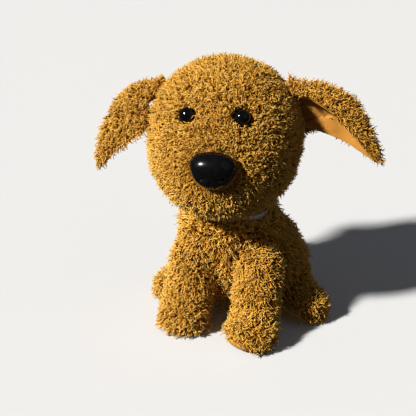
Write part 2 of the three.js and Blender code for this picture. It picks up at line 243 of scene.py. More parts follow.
def plushMaterial():
    # curly polyester pile in gold, with a soft sheen: the brown at each lock's root is painted shade deep
    # in the pile, and the pale gold at its tip is painted light on the tips.
    # The pile's own map gives a lock's tone across it, and the way from root to tip upwards.
    material, tree, shader = newMaterial("polyester_plush_curly_pile", {
        "Roughness": 0.6, "Sheen Weight": 0.12, "Sheen Roughness": 0.4,
        "Sheen Tint": linear("ecc778"), "Specular IOR Level": 0.3})
    place = addNode(tree, "ShaderNodeUVMap", uv_map="OFBake").outputs["UV"]
    split = addNode(tree, "ShaderNodeSeparateXYZ", {"Vector": place})
    rootShadeToTipLight = split.outputs["Y"]
    # along each lock: painted shade at the root, painted light at the tip
    deep = ramp(tree, rootShadeToTipLight, [(0.0, "784a0a"), (0.35, "9a640d"), (0.75, "bb8117"), (1.0, "cf9a30")])
    pale = ramp(tree, rootShadeToTipLight, [(0.0, "8c590d"), (0.3, "ba8019"), (0.7, "e0ad3e"), (1.0, "f3d27e")])
    mix = addNode(tree, "ShaderNodeMix", {0: split.outputs["X"]}, data_type="RGBA")
    tree.links.new(deep, mix.inputs[6])
    tree.links.new(pale, mix.inputs[7])
    tree.links.new(mix.outputs[2], shader.inputs["Base Color"])
    return material


def napMaterial():
    # short brushed velour: smooth orange tan, with a faint mottle where the nap lies differently
    material, tree, shader = newMaterial("polyester_velour_short_nap", {
        "Roughness": 0.85, "Sheen Weight": 0.3, "Sheen Roughness": 0.5, "Sheen Tint": linear("f0c987")})
    place = addNode(tree, "ShaderNodeTexCoord").outputs["Object"]
    # patches of 11 mm and a grain of 0.7 mm, a few fibres across
    patches = addNode(tree, "ShaderNodeTexNoise", {"Vector": place}, {"Scale": 90.0, "Detail": 4.0})
    grain = addNode(tree, "ShaderNodeTexNoise", {"Vector": place}, {"Scale": 1400.0, "Detail": 2.0})
    sources = {0: patches.outputs["Fac"], 1: grain.outputs["Fac"]}
    both = addNode(tree, "ShaderNodeMath", sources, operation="ADD")
    half = addNode(tree, "ShaderNodeMath", {0: both.outputs[0]}, {1: 0.5}, operation="MULTIPLY")
    colour = ramp(tree, half.outputs[0], [(0.3, "9a6216"), (0.5, "ae7522"), (0.7, "c48a34")])
    tree.links.new(colour, shader.inputs["Base Color"])
    bump = addNode(tree, "ShaderNodeBump", {"Height": grain.outputs["Fac"]},
                   {"Strength": 0.35, "Distance": 0.0003})
    tree.links.new(bump.outputs["Normal"], shader.inputs["Normal"])
    return material


def noisyMaterial(name, dark, light, size, shading, strength, depth):
    # a finish whose colour and bump follow one noise; size is the width of its grain
    material, tree, shader = newMaterial(name, shading)
    place = addNode(tree, "ShaderNodeTexCoord").outputs["Object"]
    grain = addNode(tree, "ShaderNodeTexNoise", {"Vector": place}, {"Scale": 1 / size, "Detail": 4.0})
    colour = ramp(tree, grain.outputs["Fac"], [(0.3, dark), (0.7, light)])
    tree.links.new(colour, shader.inputs["Base Color"])
    bump = addNode(tree, "ShaderNodeBump", {"Height": grain.outputs["Fac"]},
                   {"Strength": strength, "Distance": depth})
    tree.links.new(bump.outputs["Normal"], shader.inputs["Normal"])
    return material


plush = plushMaterial()
nap = napMaterial()
# injection-moulded acrylic from a polished mould: deep black, with sharp highlights and a slight ripple
gloss = noisyMaterial("moulded_acrylic_gloss_black", "030304", "08080a", 0.006,
                      {"Roughness": 0.1, "IOR": 1.49, "Specular IOR Level": 0.3}, 0.05, 0.0004)
# the same plastic with worn polish, on the nose: a little softer in its highlights
satinGloss = noisyMaterial("moulded_acrylic_handled_black", "040405", "0b0b0d", 0.003,
                           {"Roughness": 0.2, "IOR": 1.49, "Specular IOR Level": 0.3}, 0.1, 0.0003)
# loose crimped fibre: white, matt and lumpy
fibrefill = noisyMaterial("polyester_fibrefill_loose", "d9d4c8", "f6f3ec", 0.002,
                          {"Roughness": 0.95}, 0.6, 0.001)
# moulded polypropylene off the press: milky, half matt
washerPlastic = noisyMaterial("polypropylene_moulded_matt", "d6d4cb", "e4e2da", 0.001,
                              {"Roughness": 0.5}, 0.1, 0.0002)
# unbleached cotton, closely woven: dull, with a fine thread grain
bagCloth = noisyMaterial("cotton_bag_plain_weave", "cfc9b9", "e2ddcf", 0.0008,
                         {"Roughness": 0.9}, 0.4, 0.0002)
# woven satin ribbon: pale lilac white, smooth, with a soft gloss
satin = noisyMaterial("polyester_satin_ribbon", "d8d5df", "f0eef4", 0.0007,
                      {"Roughness": 0.38, "Sheen Weight": 0.3}, 0.15, 0.0002)
print("materials ready")

# the woven ground of the pile fabric: its thickness, how deep it lies under the tips, how deep where a
# neighbour presses on it or where there is no pile, and its place low on the pile's map, which gives it the
# locks' brown root colour: painted shade under the pile
ground = {"thickness": 0.0014, "pile": 0.0074, "pressed": 0.0030, "bare": 0.0018, "voxel": 0.0035,
          "tailPile": 0.0050, "tailVoxel": 0.0020, "touching": 0.0025, "clear": 0.008,
          "tone": 0.4, "toneSize": 0.01, "shadedMapHeight": 0.25}

headPanels = ["muzzle_panel", "throat_panel", "head_gusset", "cheek_panel_left", "cheek_panel_right"]
torsoPanels = ["chest_panel", "back_panel_left", "back_panel_right", "seat_panel"]
tailPanels = ["tail_panel_left", "tail_panel_right"]
sides = ("left", "right")
limbs = [leg + "_leg_" + side for leg in ("front", "hind") for side in sides]
bodyNodes = {"head": headPanels + ["head_filling", "eye_left", "eye_right"],
             "torso": torsoPanels + ["body_filling", "pellet_bag"],
             "tail": tailPanels + ["tail_filling"]}
for limb in limbs:
    bodyNodes[limb] = [limb + part for part in ("_outer_panel", "_inner_panel", "_sole", "_filling")]


def keepLargest(form):
    seen, best = set(), []
    for start in form.verts:
        if start in seen:
            continue
        seen.add(start)
        island, edge = [start], [start]
        while edge:
            vert = edge.pop()
            for link in vert.link_edges:
                other = link.other_vert(vert)
                if other not in seen:
                    seen.add(other)
                    island.append(other)
                    edge.append(other)
        if len(island) > len(best):
            best = island
    keep = set(best)
    bmesh.ops.delete(form, geom=[v for v in form.verts if v not in keep], context="VERTS")


def smooth(form, times, factor=0.5):
    for turn in range(times):
        bmesh.ops.smooth_vert(form, verts=form.verts, factor=factor, use_axis_x=True, use_axis_y=True,
                              use_axis_z=True)


def outerSkin(nodes, voxel):
    # one closed skin round everything that a sewn part is made of
    obj = toObject("skin", nodeForm(*nodes))
    remesh = obj.modifiers.new("voxels", "REMESH")
    remesh.mode = "VOXEL"
    remesh.voxel_size = voxel
    applyModifiers(obj)
    form = formOf(obj)
    bpy.data.objects.remove(obj)
    keepLargest(form)
    smooth(form, 1)
    return form


def shrink(form, depth, steps=4, smoothing=2):
    # draws a skin in along its normals, by one depth or by a depth for each vertex
    depths = np.broadcast_to(depth, len(form.verts))
    for turn in range(steps):
        form.normal_update()
        for vert, inward in zip(form.verts, depths):
            vert.co -= vert.normal * (inward / steps)
        smooth(form, smoothing)


def thicken(form, thickness):
    # gives an open layer its thickness, inwards, and closes its edge
    twin = form.verts.layers.int.new("twin")
    form.normal_update()
    places = []
    for index, vert in enumerate(form.verts):
        vert[twin] = index
        places.append(vert.co - vert.normal * thickness)
    copied = bmesh.ops.extrude_face_region(form, geom=form.faces[:], use_keep_orig=True)
    for item in copied["geom"]:
        if isinstance(item, bmesh.types.BMVert):
            item.co = places[item[twin]]
    bmesh.ops.recalc_face_normals(form, faces=form.faces)


def ease(value):
    value = np.clip(value, 0, 1)
    return value * value * (3 - 2 * value)


skins = {body: outerSkin(nodes, ground["tailVoxel" if body == "tail" else "voxel"])
         for body, nodes in bodyNodes.items()}
skinTrees = {body: BVHTree.FromBMesh(form) for body, form in skins.items()}
for side in sides:
    skinTrees["ear_" + side] = nodeTree("ear_back_" + side, "ear_lining_" + side)
print("skins ready")


def nearness(points, trees, near, far):
    # 1 where a point is close to any of the trees, or inside it, and 0 beyond the far distance
    close = np.zeros(len(points))
    for tree in trees:
        for i, point in enumerate(points):
            place, facing, index, distance = tree.find_nearest(Vector(point))
            if (Vector(point) - place).dot(facing) < 0:
                distance = 0
            close[i] = max(close[i], 1 - min(1, max(0, (distance - near) / (far - near))))
    return close


def groundOf(body, neighbours, bare=None, pile=ground["pile"]):
    # the fabric's woven ground: deep under the tips where the pile stands free, and shallow
    # where another part presses on it or where the fabric has no pile
    form = skins[body]
    points = np.array([v.co for v in form.verts])
    trees = [skinTrees[name] for name in neighbours]
    pressed = nearness(points, trees, ground["touching"], ground["clear"])
    depths = pile + (ground["pressed"] - pile) * pressed
    if bare is not None:
        depths = depths + (ground["bare"] - depths) * bare(points)
    shrink(form, depths)
    return form


# a lock of the pile: a tapering curl of a few dozen faces
lock = {
    "length": 0.009,     # before it is scaled
    "sizes": (0.78, 1.16),
    "triesForEach": 3,   # places tried for each root
    "radius": 0.00055,   # at its thickest
    "rings": 4,
    "width": [0.8, 1.0, 0.9, 0.3],
    # how far a lock bends over from root to tip, and how far it twists, in radians
    "curls": [(0.3, 0.0), (0.7, 0.6), (1.1, 1.0), (1.5, 1.8), (1.9, 0.8),
              (2.3, 2.2), (1.2, 3.4), (0.9, -1.6), (2.7, 3.6), (1.7, -2.6)],
    "bendPower": 1.2,    # above 1 it bends more towards its tip
    "mapWidth": 0.012,   # of one side of a lock on its map
    # its tone from dark to pale: broad patches, and how much each lock differs
    "tone": 0.5, "patchSize": 0.03, "patch": 0.3, "spread": 0.17, "darkest": 0.02, "palest": 0.95,
    # slow waves in the way the pile lies, and how much of them and of chance is in its curl
    "waveSize": 3, "waveSeed": 5, "wave": 0.35, "waveInCurl": 0.6, "looseInCurl": 0.5,
}
curlMix = {
    "curly": [0.05, 0.08, 0.12, 0.14, 0.14, 0.13, 0.12, 0.08, 0.08, 0.06],
    "combed": [0.12, 0.16, 0.16, 0.13, 0.10, 0.06, 0.10, 0.09, 0.04, 0.04],
}


def lockShape(bend, twist):
    # a three-sided rod, subdivided along its length and then bent
    form = bmesh.new()
    bmesh.ops.create_cone(form, cap_ends=True, segments=3, radius1=1, radius2=1, depth=1)
    bmesh.ops.translate(form, verts=form.verts, vec=(0, 0, 0.5))
    last = lock["rings"] - 1
    upright = [e for e in form.edges if abs(e.verts[0].co.z - e.verts[1].co.z) > 0.5]
    bmesh.ops.subdivide_edges(form, edges=upright, cuts=last - 1)
    bmesh.ops.triangulate(form, faces=form.faces)
    line, heading = [Vector()], []
    for i in range(lock["rings"]):
        tilt, spin = bend * (i / last) ** lock["bendPower"], twist * i / last
        aside = math.sin(tilt)
        heading.append(Vector((aside * math.cos(spin), aside * math.sin(spin), math.cos(tilt))))
    for i in range(last):
        line.append(line[-1] + (heading[i] + heading[i + 1]) * lock["length"] / last / 2)
    places = []
    for vert in form.verts:
        i = round(vert.co.z * last)
        around = math.atan2(vert.co.y, vert.co.x)
        places.append((round(around / (2 * math.pi / 3)) % 3, i))
        turn = Vector((0, 0, 1)).rotation_difference(heading[i])
        ring = Vector((math.cos(around), math.sin(around), 0)) * lock["radius"] * lock["width"][i]
        vert.co = line[i] + turn @ ring
    form.verts.index_update()
    points = np.array([v.co for v in form.verts])
    faces = np.array([[v.index for v in f.verts] for f in form.faces])
    form.free()
    maps = np.array([(side * lock["mapWidth"], i / last) for side, i in places])
    return points, faces, maps


locks = [lockShape(bend, twist) for bend, twist in lock["curls"]]


def meshOf(name, points, faces, maps):
    mesh = bpy.data.meshes.new(name)
    mesh.vertices.add(len(points))
    mesh.vertices.foreach_set("co", points.astype(np.float32).ravel())
    mesh.loops.add(faces.size)
    mesh.loops.foreach_set("vertex_index", faces.astype(np.int32).ravel())
    mesh.polygons.add(len(faces))
    mesh.polygons.foreach_set("loop_start", np.arange(0, faces.size, 3, dtype=np.int32))
    mesh.update(calc_edges=True)
    mesh.uv_layers.new(name="OFBake")
    mesh.uv_layers["OFBake"].data.foreach_set("uv", maps[faces.ravel()].astype(np.float32).ravel())
    mesh.shade_smooth()
    return mesh


def unit(vectors):
    return vectors / np.maximum(np.linalg.norm(vectors, axis=1, keepdims=True), 1e-9)


def seedRoots(form, spacing, rng):
    # roots spread evenly over a skin, no two nearer than the spacing
    form.normal_update()
    faces = form.calc_loop_triangles()
    corners = np.array([[loop.vert.co for loop in tri] for tri in faces])
    normals = np.array([[loop.vert.normal for loop in tri] for tri in faces])
    owner = np.array([tri[0].face.index for tri in faces])
    sidesOf = np.cross(corners[:, 1] - corners[:, 0], corners[:, 2] - corners[:, 0])
    area = np.linalg.norm(sidesOf, axis=1) / 2
    count = int(area.sum() / spacing ** 2 * lock["triesForEach"])
    pick = rng.choice(len(area), count, p=area / area.sum())
    a, b = rng.random((2, count, 1))
    a, b = np.where(a + b > 1, 1 - a, a), np.where(a + b > 1, 1 - b, b)
    weights = np.concatenate([1 - a - b, a, b], axis=1)[:, :, None]
    points = (corners[pick] * weights).sum(1)
    facing = unit((normals[pick] * weights).sum(1))
    tree = KDTree(count)
    for i, point in enumerate(points):
        tree.insert(point, i)
    tree.balance()
    alive = np.ones(count, bool)
    for i in range(count):
        if alive[i]:
            for place, index, distance in tree.find_range(points[i], spacing):
                if index > i:
                    alive[index] = False
    return points[alive], facing[alive], owner[pick[alive]]


def smoothNoise(points, size, seed):
    # a slowly changing vector at each point; size is the distance over which it changes
    shift = Vector((seed * 3.1, seed * 1.7, seed * 2.3))
    return np.array([noise.noise_vector(Vector(p) / size + shift) for p in points])


def lieOf(points, normals, comb, fur, rng):
    # the way each lock stands and the way it curls over
    flow = comb(points)
    flow = flow - normals * (flow * normals).sum(1, keepdims=True)
    tuft = smoothNoise(points, fur["tuftSize"], fur["seed"])
    wave = smoothNoise(points, fur["tuftSize"] * lock["waveSize"], fur["seed"] + lock["waveSeed"])
    loose = rng.normal(size=points.shape)
    stand = normals + flow * fur["lean"] + tuft * fur["tuft"] + wave * lock["wave"] + loose * fur["loose"]
    stand = unit(stand)
    over = flow * fur["combed"] + tuft + wave * lock["waveInCurl"] + loose * lock["looseInCurl"]
    over = unit(over - stand * (over * stand).sum(1, keepdims=True))
    return stand, over


def growLocks(points, normals, comb, fur, rng, scale):
    stand, over = lieOf(points, normals, comb, fur, rng)
    axes = np.stack([over, np.cross(stand, over), stand], axis=2)
    size = scale * fur["length"] / lock["length"] * rng.uniform(*lock["sizes"], len(points))
    shift = Vector((fur["seed"], 0, 0))
    broad = np.array([noise.noise(Vector(p) / lock["patchSize"] + shift) for p in points])
    tone = lock["tone"] + lock["patch"] * broad + rng.normal(0, lock["spread"], len(points))
    tone = np.clip(tone, lock["darkest"], lock["palest"])
    kind = rng.choice(len(locks), len(points), p=fur["curls"])
    allPoints, allFaces, allMaps, count = [], [], [], 0
    for k, (shape, faces, maps) in enumerate(locks):
        mine = np.flatnonzero(kind == k)
        if not len(mine):
            continue
        bent = np.einsum("nij,vj->nvi", axes[mine], shape) * size[mine, None, None]
        allPoints.append((points[mine, None, :] + bent).reshape(-1, 3))
        starts = count + np.arange(len(mine)) * len(shape)
        allFaces.append((starts[:, None, None] + faces[None]).reshape(-1, 3))
        spread = maps[None] + np.stack([tone[mine], np.zeros(len(mine))], axis=1)[:, None, :]
        allMaps.append(spread.reshape(-1, 2))
        count += len(mine) * len(shape)
    return np.concatenate(allPoints), np.concatenate(allFaces), np.concatenate(allMaps)


def groundLayer(form, chosen):
    # the woven ground of one panel, a thin closed layer under the locks
    panel = form.copy()
    panel.faces.ensure_lookup_table()
    gone = [f for f in panel.faces if f.index not in chosen]
    bmesh.ops.delete(panel, geom=gone, context="FACES")
    thicken(panel, ground["thickness"])
    bmesh.ops.triangulate(panel, faces=panel.faces)
    panel.verts.index_update()
    points = np.array([v.co for v in panel.verts])
    faces = np.array([[v.index for v in f.verts] for f in panel.faces])
    panel.free()
    # its colour comes from low on the pile's map, the brown of the locks' roots: painted shade under the
    # pile; its tone varies at random
    tone = [ground["tone"] * (1 + noise.noise(Vector(p) / ground["toneSize"])) for p in points]
    return points, faces, np.stack([tone, np.full(len(points), ground["shadedMapHeight"])], axis=1)


def nearestPanels(form, panels):
    # which panel each face of a skin belongs to
    trees = [nodeTree(name) for name in panels]
    form.faces.index_update()
    nearest = []
    for face in form.faces:
        middle = face.calc_center_median()
        nearest.append(min(range(len(trees)), key=lambda k: trees[k].find_nearest(middle)[3]))
    return np.array(nearest)


# fur that a neighbour presses on: how far it may run into it, its least length and the share left out;
# the shortest lock that is kept, and how far a neighbour is looked for
pressing = {"overlap": 0.0035, "least": 0.4, "thinned": 0.5, "shortest": 0.05, "sight": 0.3,
            "aboveFloor": 0.0004}


def freeRun(points, directions, neighbours, reach):
    # how far a lock can run from its root before it meets another part
    run = np.full(len(points), reach)
    for name in neighbours:
        tree = skinTrees[name]
        for i, (point, heading) in enumerate(zip(points, directions)):
            heading = Vector(heading)
            place, facing, index, distance = tree.ray_cast(Vector(point), heading, pressing["sight"])
            if place is not None:
                run[i] = min(run[i], 0 if facing.dot(heading) > 0 else distance)
    return run


def finishPiece(piece, body, slot, *nodes):
    if not body.startswith("ear_"):   # an ear's pieces are left unattached
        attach(piece, body)
    if nodes:
        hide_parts(*nodes)
    return piece


def growPart(body, panels, form, comb, fur, neighbours, trim=None):
    # grows the pile of one sewn part, and makes one piece for each of its panels
    rng = np.random.default_rng(fur["seed"])
    owners = nearestPanels(form, panels)
    points, normals, face = seedRoots(form, fur["spacing"], rng)
    run = freeRun(points, normals, neighbours, fur["length"])
    scale = np.clip((run + pressing["overlap"]) / fur["length"], pressing["least"], 1)
    if trim is not None:
        scale = scale * trim(points, normals)
    spared = (run > 0) | (rng.random(len(points)) > pressing["thinned"])
    kept = (scale > pressing["shortest"]) & spared
    triangles = 0
    for k, panel in enumerate(panels):
        mine = kept & (owners[face] == k)
        layers = [groundLayer(form, set(np.flatnonzero(owners == k)))]
        if mine.any():
            layers.append(growLocks(points[mine], normals[mine], comb, fur, rng, scale[mine]))
        shifts = np.cumsum([0] + [len(layer[0]) for layer in layers])
        allPoints = np.concatenate([layer[0] for layer in layers])
        allFaces = np.concatenate([layer[1] + shift for layer, shift in zip(layers, shifts)])
        allMaps = np.concatenate([layer[2] for layer in layers])
        allPoints[:, 2] = np.maximum(allPoints[:, 2], pressing["aboveFloor"])
        mesh = meshOf(panel + "_plush", allPoints, allFaces, allMaps)
        piece = addObject(panel + "_plush", mesh, plush)
        finishPiece(piece, body, "plush", panel)
        triangles += len(allFaces)
    print(body, "plush:", int(kept.sum()), "locks,", triangles, "triangles")


# loose stuffing: how far it lies under its ground, how deep it stays under the outside, and its lumps
stuffing = {"under": 0.0012, "cover": 0.001, "lump": 0.0004, "lumpSize": 0.006, "turns": 4,
            "torsoUnder": 0.0030, "torsoCover": 0.002}


def roughen(form):
    form.normal_update()
    for vert in form.verts:
        vert.co += vert.normal * stuffing["lump"] * (noise.noise(vert.co / stuffing["lumpSize"]) - 1)


def tuckIn(form, tree, depth):
    # keeps a filling at least this deep inside a cover
    for turn in range(stuffing["turns"]):
        for vert in form.verts:
            place, facing, index, distance = tree.find_nearest(vert.co)
            if (place - vert.co).dot(facing) < depth:
                vert.co = place - facing * depth
        if turn < stuffing["turns"] - 1:
            smooth(form, 1)


def makeFilling(name, body, form, *nodes):
    # loose fibre inside a part, a lumpy form just under its ground
    cover = BVHTree.FromBMesh(form)
    shrink(form, ground["thickness"] + stuffing["under"], steps=2, smoothing=3)
    roughen(form)
    if body != "tail":
        tuckIn(form, skinTrees[body], ground["pile"] + ground["thickness"] + stuffing["cover"])
        tuckIn(form, cover, ground["thickness"] + stuffing["cover"])
    piece = finishPiece(toObject(name, form, fibrefill), body, "fibrefill", *nodes)


headFur = {"length": 0.0080, "spacing": 0.00091, "lean": 0.22, "tuftSize": 0.005, "tuft": 0.55,
           "loose": 0.18, "combed": 0.5, "curls": curlMix["curly"], "seed": 11, "fill": 0.85}
# how strongly the pile is combed away from the nose, down, and away from the eyes
headLie = {"offNose": 0.3, "nearNose": 1.6, "noseReach": 0.035, "down": 0.35, "offEye": 1.2,
           "eyeReach": 0.012}
eyeRoom = 0.0078    # no locks are rooted nearer than this to the middle of an eye
# how far from the nose's root the pile starts and grows long, and where the ground rises to seat it
noseRoom = {"clear": 0.0185, "short": 0.006, "squash": 0.8, "seat": 0.017, "seatEdge": 0.006,
            "root": 0.011}
# below the middle of the head the pile grows longer, but for a parting over the ribbon's front
chin = {"from": 0.040, "to": 0.058, "longer": 0.5, "parting": (-0.013, -0.045), "partingSize": 0.013,
        "parted": 0.9}
skullMiddle = (middleOf("cheek_panel_left") + middleOf("cheek_panel_right")) / 2


def axisOf(fitting, washer):
    # the base and the direction of a fitting that stands on its washer
    outward = (nodeCentre(fitting) - nodeCentre(washer)).normalized()
    form = nodeForm(fitting)
    top = max(v.co.dot(outward) for v in form.verts)
    form.free()
    middle = nodeCentre(washer)
    return middle + outward * (top - middle.dot(outward)), outward


eyeTops = {side: axisOf("eye_" + side, "eye_washer_" + side) for side in sides}
noseTop, noseForward = axisOf("nose", "nose_washer")
noseRoot = noseTop - noseForward * noseRoom["root"]


def headComb(points):
    # away from the nose over the muzzle, a little downwards everywhere, and clear of the eyes
    off = points - np.array(noseRoot)
    near = np.exp(-np.linalg.norm(off, axis=1) / headLie["noseReach"])[:, None]
    away = headLie["offNose"] + headLie["nearNose"] * near
    flow = unit(off) * away + np.array([0, 0, -headLie["down"]])
    for top, outward in eyeTops.values():
        off = points - np.array(top)
        far = np.linalg.norm(off, axis=1, keepdims=True) / headLie["eyeReach"]
        flow += unit(off) * headLie["offEye"] * np.exp(-far ** 2)
    return flow


def headTrim(points, normals):
    # no locks grow under the eyes and the nose, and they are short round the nose
    length = np.ones(len(points))
    for top, outward in eyeTops.values():
        off = points - np.array(top)
        off -= np.outer(off @ np.array(outward), np.array(outward))
        length[(np.linalg.norm(off, axis=1) < eyeRoom) & (points @ np.array(outward) > 0)] = 0
    below = skullMiddle.z - points[:, 2]
    low = ease((below - chin["from"]) / (chin["to"] - chin["from"]))
    parted = np.linalg.norm(points[:, :2] - np.array(chin["parting"]), axis=1) / chin["partingSize"]
    length *= 1 + low * (chin["longer"] - chin["parted"] * np.exp(-parted ** 2))
    off = (points - np.array(noseRoot)) / np.array([1.0, 1.0, noseRoom["squash"]])
    far = np.linalg.norm(off, axis=1)
    return length * np.clip((far - noseRoom["clear"]) / noseRoom["short"], 0, 1) ** 0.5


def noseSeat(points):
    # round the nose the ground comes up under its rim
    far = np.linalg.norm(points - np.array(noseRoot), axis=1)
    return 1 - ease((far - noseRoom["seat"]) / noseRoom["seatEdge"])


def makeHead():
    near = ["ear_left", "ear_right"]
    form = groundOf("head", [], noseSeat)
    growPart("head", headPanels, form, headComb, headFur, near, headTrim)
    makeFilling("head_fibrefill", "head", form, "head_filling")


makeHead()

eye = {"radius": 0.007, "rim": 0.0008, "height": 0.006, "lip": 0.0005, "foot": 0.85, "dome": 0.96,
       "steps": 12, "turns": 48}


def lookAlong(outward):
    return outward.to_track_quat("Z", "Y").to_matrix().to_4x4()


def makeEye(side):
    # a moulded dome with a rounded lip, spun round its own axis
    top, outward = eyeTops[side]
    form = bmesh.new()
    radius, rim = eye["radius"], eye["rim"]
    profile = [(0, -eye["lip"]), (radius * eye["foot"], -eye["lip"])]
    profile += [(radius, 0), (radius + eye["lip"], rim * 0.5), (radius, rim)]
    for i in range(1, eye["steps"] + 1):
        a = i / eye["steps"] * math.pi / 2
        profile.append((radius * eye["dome"] * math.cos(a), rim + eye["height"] * math.sin(a)))
    line = [form.verts.new((r, 0, h)) for r, h in profile]
    edges = [form.edges.new(pair) for pair in zip(line, line[1:])]
    bmesh.ops.spin(form, geom=line + edges, axis=(0, 0, 1), cent=(0, 0, 0), angle=2 * math.pi,
                   steps=eye["turns"], use_merge=True)
    bmesh.ops.remove_doubles(form, verts=form.verts, dist=1e-6)
    bmesh.ops.recalc_face_normals(form, faces=form.faces)
    bmesh.ops.transform(form, matrix=lookAlong(outward), verts=form.verts)
    base = top - outward * (eye["rim"] + eye["height"])
    bmesh.ops.translate(form, verts=form.verts, vec=base)
    finishPiece(toObject("eye_" + side + "_dome", form, gloss), "head", "plastic", "eye_" + side)


nose = {
    "width": 0.0393, "height": 0.0310, "depth": 0.015, "back": 0.001,
    "taper": 0.32, "taperFrom": 0.35, "taperPower": 1.3, "square": 0.82, "domed": 0.85,
    "lip": 0.0007, "lipAt": 0.33, "lipWidth": 0.05,
    # a nostril: its depth, where it lies, its size, and how it slants
    "nostril": 0.0026, "across": 0.0078, "down": 0.0022, "hollow": (0.0030, 0.0022), "slant": 0.4,
    "cleft": 0.0014, "cleftWidth": 0.0009, "cleftFrom": 0.003,
}


def nosePush(px, pz, y, z):
    # how far the lip line, the nostrils and the cleft press the front of the nose back
    push = nose["lip"] * math.exp(-((y - nose["lipAt"]) / nose["lipWidth"]) ** 2) * min(1, max(0, z + 0.5))
    wide, high = nose["hollow"]
    for hand in (-1, 1):
        across, up = px * hand - nose["across"], pz + nose["down"]
        hollow = math.exp(-(((across + up * nose["slant"]) / wide) ** 2 + (up / high) ** 2))
        push += nose["nostril"] * hollow
    below = min(1, max(0, (-nose["cleftFrom"] - pz) / nose["cleftFrom"]))
    return push + nose["cleft"] * math.exp(-(px / nose["cleftWidth"]) ** 2) * below


def makeNose():
    # a broad button, wide above and narrow below, with a lip line over the top, two nostrils and a cleft
    form = bmesh.new()
    bmesh.ops.create_uvsphere(form, u_segments=96, v_segments=64, radius=1)
    for vert in form.verts:
        x, z, y = vert.co      # the poles lie at the front and the back
        low = max(0.0, nose["taperFrom"] - z)
        wide = nose["width"] / 2 * (1 - nose["taper"] * min(1, low) ** nose["taperPower"])
        px = math.copysign(abs(x) ** nose["square"], x) * wide
        pz = math.copysign(abs(z) ** nose["square"], z) * nose["height"] / 2
        forward = y * nose["back"]
        if y > 0:
            forward = nose["depth"] * y ** nose["domed"] - nosePush(px, pz, y, z)
        vert.co = (px, pz, forward)
    bmesh.ops.recalc_face_normals(form, faces=form.faces)
    bmesh.ops.transform(form, matrix=lookAlong(noseForward), verts=form.verts)
    bmesh.ops.translate(form, verts=form.verts, vec=noseTop - noseForward * nose["depth"])
    finishPiece(toObject("nose_button", form, satinGloss), "head", "plastic", "nose")


for side in sides:
    makeEye(side)
makeNose()
print("eyes and nose ready")

earFur = {"length": 0.0080, "spacing": 0.00091, "lean": 0.4, "tuftSize": 0.0055, "tuft": 0.5,
          "loose": 0.2, "combed": 0.7, "curls": curlMix["curly"], "seed": 23, "fill": 0.3}
ear = {
    "liningGap": 0.0006, "liningThickness": 0.0012, "onLining": 0.0013, "flat": (0.085, 0.125),
    # creases in the lining, broad ones and a share of finer ones
    "crease": 0.0010, "creaseSize": 0.016, "finer": 3, "finerShare": 0.4, "creaseShift": 0.8,
    # the sheet is read off the model as broad faces and made finer
    "merged": 0.0008, "faceAngle": 1.2, "cornerAngle": 3.1, "levels": 3, "smoothing": 6,
    # the root reaches in to the head, over these distances from its middle
    "rootReach": 0.0150, "rootFrom": 0.108, "rootTo": 0.076, "rootLeast": 0.0610,
    # the pile fans out and runs to the tip, and hangs over the front edge
    "fan": 0.035, "toTip": 0.7, "fringe": 3.0, "fringeWidth": 0.006, "frontEdge": 0.01,
    "bend": 0.014,       # half the length over which the root bends
}


def earSheet(side):
    # the folded sheet itself: the face of the fur layer that lies on the lining, subdivided smooth,
    # with its root drawn in to the seam in the head's fur
    form = nodeForm("ear_back_" + side)
    lining = nodeTree("ear_lining_" + side)
    gone = [f for f in form.faces if lining.find_nearest(f.calc_center_median())[3] > ear["onLining"]]
    bmesh.ops.delete(form, geom=gone, context="FACES")
    keepLargest(form)
    bmesh.ops.reverse_faces(form, faces=form.faces)
    bmesh.ops.dissolve_degenerate(form, edges=form.edges, dist=ear["merged"])
    bmesh.ops.join_triangles(form, faces=form.faces, angle_face_threshold=ear["faceAngle"],
                             angle_shape_threshold=ear["cornerAngle"])
    obj = toObject("sheet", form)
    finer = obj.modifiers.new("finer", "SUBSURF")
    finer.subdivision_type = "SIMPLE"
    finer.levels = finer.render_levels = ear["levels"]
    applyModifiers(obj)
    form = formOf(obj)
    bpy.data.objects.remove(obj)
    smooth(form, ear["smoothing"])
    for vert in form.verts:
        inward = skullMiddle - vert.co
        near = (ear["rootFrom"] - inward.length) / (ear["rootFrom"] - ear["rootTo"])
        reach = min(ear["rootReach"] * float(ease(near)), max(0.0, inward.length - ear["rootLeast"]))
        vert.co += inward.normalized() * reach
    return form


def offset(form, distance):
    form.normal_update()
    for vert, normal in [(v, v.normal.copy()) for v in form.verts]:
        vert.co += normal * distance


